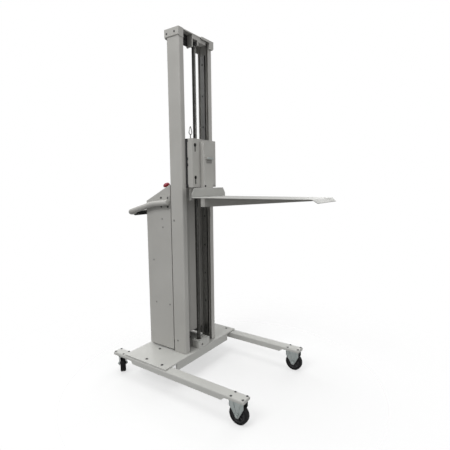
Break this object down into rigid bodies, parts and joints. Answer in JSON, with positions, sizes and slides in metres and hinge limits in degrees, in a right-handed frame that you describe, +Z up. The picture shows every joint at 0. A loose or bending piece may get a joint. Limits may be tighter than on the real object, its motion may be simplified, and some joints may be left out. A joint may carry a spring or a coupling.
{
  "type": "mobile mast lift",
  "caption": "Wheeled mast lift: channel-post mast with a screw-driven carriage and flat load platform, rear drive housing with control panel and push handle, legged base on casters.",
  "frame": {"origin": "on the floor, in the middle of the whole object's footprint", "axes": "+Z up, -Y towards the load platform's nose, +Y towards the push handle, +X the operator's left when standing at the handle"},
  "size_m": [0.676, 1.21, 1.95],
  "materials": {
    "powder_coat": "warm light grey powder coat",
    "pale_coat": "pale grey powder coat",
    "zinc": "bright zinc plating",
    "steel": "plain machined steel",
    "dark_steel": "oiled dark steel",
    "wheel_rubber": "hard black wheel rubber",
    "soft_rubber": "matte black rubber",
    "black_plastic": "matte black plastic",
    "bronze": "machined bronze",
    "crimson": "crimson moulded plastic",
    "green": "green moulded plastic",
    "red": "red moulded plastic"
  },
  "bodies": {
    "frame": {"mast_head": "powder_coat", "mast_post_left": "powder_coat", "mast_post_right": "powder_coat", "top_bearing_block": "powder_coat", "housing_shell": "powder_coat", "housing_front_panel": "powder_coat", "control_panel": "powder_coat", "handle_bracket_left": "powder_coat", "handle_bracket_right": "powder_coat", "handle_bar": "powder_coat", "base_plate": "pale_coat", "leg_left": "pale_coat", "leg_right": "pale_coat", "bottom_bearing_block": "pale_coat", "front_fork_left": "zinc", "front_fork_right": "zinc", "front_axle_left": "zinc", "front_axle_right": "zinc", "swivel_plate_left": "zinc", "swivel_plate_right": "zinc", "key_switch": "zinc", "guide_rail_left": "steel", "guide_rail_right": "steel", "motor_mount": "steel", "battery_tray": "steel", "motor": "dark_steel", "drive_belt": "soft_rubber", "handle_grip": "soft_rubber", "battery_left": "black_plastic", "battery_right": "black_plastic", "estop_base": "black_plastic", "battery_gauge": "black_plastic", "charger_inlet": "black_plastic"},
    "carriage": {"carriage_plate": "powder_coat", "carriage_frame": "powder_coat", "lower_guide_block_left": "black_plastic", "lower_guide_block_right": "black_plastic", "upper_guide_block_left": "black_plastic", "upper_guide_block_right": "black_plastic", "screw_nut": "bronze", "hanger_bar": "powder_coat", "latch_plate": "powder_coat", "platform_tray": "pale_coat", "platform_beam": "powder_coat"},
    "lock_pin": {"lock_pin": "zinc"},
    "screw": {"lead_screw": "dark_steel", "screw_pulley": "dark_steel"},
    "motor_rotor": {"motor_pulley": "steel"},
    "front_wheel_left": {"front_wheel_left": "wheel_rubber"},
    "front_wheel_right": {"front_wheel_right": "wheel_rubber"},
    "rear_fork_left": {"rear_fork_left": "zinc", "rear_axle_left": "zinc"},
    "rear_fork_right": {"rear_fork_right": "zinc", "rear_axle_right": "zinc"},
    "rear_wheel_left": {"rear_wheel_left": "wheel_rubber"},
    "rear_wheel_right": {"rear_wheel_right": "wheel_rubber"},
    "estop_button": {"estop_button": "crimson"},
    "up_button": {"up_button": "green"},
    "down_button": {"down_button": "red"},
    "key": {"key": "steel"}
  },
  "joints": [
    {"name": "lift_slide", "type": "slide", "parent": "frame", "child": "carriage", "axis": [0, 0, 1], "range_m": [-0.86, 0.44]},
    {"name": "screw_turn", "type": "hinge", "parent": "frame", "child": "screw", "pos_m": [0, 0.181, 0], "axis": [0, 0, 1], "range_deg": [-15481, 7921]},
    {"name": "motor_turn", "type": "hinge", "parent": "frame", "child": "motor_rotor", "pos_m": [0, 0.357, 0], "axis": [0, 0, 1], "range_deg": [-23221, 11881]},
    {"name": "lock_pin_pull", "type": "slide", "parent": "carriage", "child": "lock_pin", "axis": [0, 0, 1], "range_m": [0, 0.018], "stiffness_N_per_m": 400, "springref_m": -0.012},
    {"name": "front_wheel_left_roll", "type": "hinge", "parent": "frame", "child": "front_wheel_left", "pos_m": [0.308, -0.31, 0.05], "axis": [1, 0, 0], "continuous": true},
    {"name": "rear_caster_left_swivel", "type": "hinge", "parent": "frame", "child": "rear_fork_left", "pos_m": [0.308, 0.517, 0.117], "axis": [0, 0, 1], "continuous": true},
    {"name": "rear_wheel_left_roll", "type": "hinge", "parent": "rear_fork_left", "child": "rear_wheel_left", "pos_m": [0.28626, 0.54443, 0.05], "axis": [0.7837, 0.6211, 0], "continuous": true},
    {"name": "front_wheel_right_roll", "type": "hinge", "parent": "frame", "child": "front_wheel_right", "pos_m": [-0.308, -0.31, 0.05], "axis": [1, 0, 0], "continuous": true},
    {"name": "rear_caster_right_swivel", "type": "hinge", "parent": "frame", "child": "rear_fork_right", "pos_m": [-0.308, 0.517, 0.117], "axis": [0, 0, 1], "continuous": true},
    {"name": "rear_wheel_right_roll", "type": "hinge", "parent": "rear_fork_right", "child": "rear_wheel_right", "pos_m": [-0.28626, 0.54443, 0.05], "axis": [0.7837, -0.6211, 0], "continuous": true},
    {"name": "estop_push", "type": "slide", "parent": "frame", "child": "estop_button", "axis": [0, 0.4422, 0.8969], "range_m": [-0.005, 0]},
    {"name": "up_button_press", "type": "slide", "parent": "frame", "child": "up_button", "axis": [0, 0.4422, 0.8969], "range_m": [-0.003, 0], "stiffness_N_per_m": 300, "springref_m": 0.002},
    {"name": "down_button_press", "type": "slide", "parent": "frame", "child": "down_button", "axis": [0, 0.4422, 0.8969], "range_m": [-0.003, 0], "stiffness_N_per_m": 300, "springref_m": 0.002},
    {"name": "key_turn", "type": "hinge", "parent": "frame", "child": "key", "pos_m": [0.04, 0.317, 1.0931], "axis": [0, 0.4422, 0.8969], "range_deg": [0, 90]}
  ],
  "couplings": [
    {"joint": "screw_turn", "follows": "lift_slide", "rad_per_m": 314.16},
    {"joint": "motor_turn", "follows": "lift_slide", "rad_per_m": 471.24}
  ]
}
